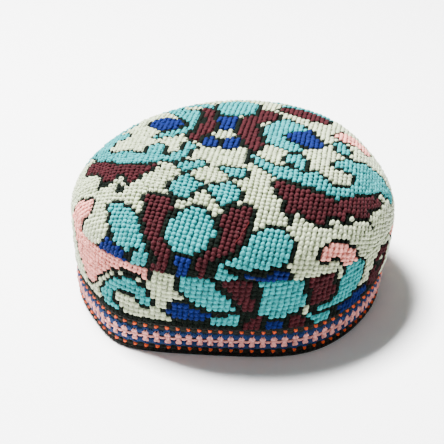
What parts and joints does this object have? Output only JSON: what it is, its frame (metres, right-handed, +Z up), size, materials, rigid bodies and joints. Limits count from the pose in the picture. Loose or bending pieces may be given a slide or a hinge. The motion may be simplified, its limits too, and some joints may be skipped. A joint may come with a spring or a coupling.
{
  "type": "skullcap",
  "caption": "Round skullcap with a domed embroidered crown, an upright embroidered side band and a woven braid round its lower edge, hollow and open below.",
  "frame": {"origin": "on the surface that the cap rests on, at the middle of its outline", "axes": "+Z up, the wearer's front towards -Y"},
  "size_m": [0.1962, 0.1964, 0.103],
  "materials": {
    "crown_embroidery": "cotton cross stitch",
    "band_embroidery": "cotton cross stitch",
    "edge_braid": "woven cotton braid"
  },
  "bodies": {
    "root": {"crown": "crown_embroidery", "side_band": "band_embroidery", "edge_braid": "edge_braid"}
  },
  "joints": []
}
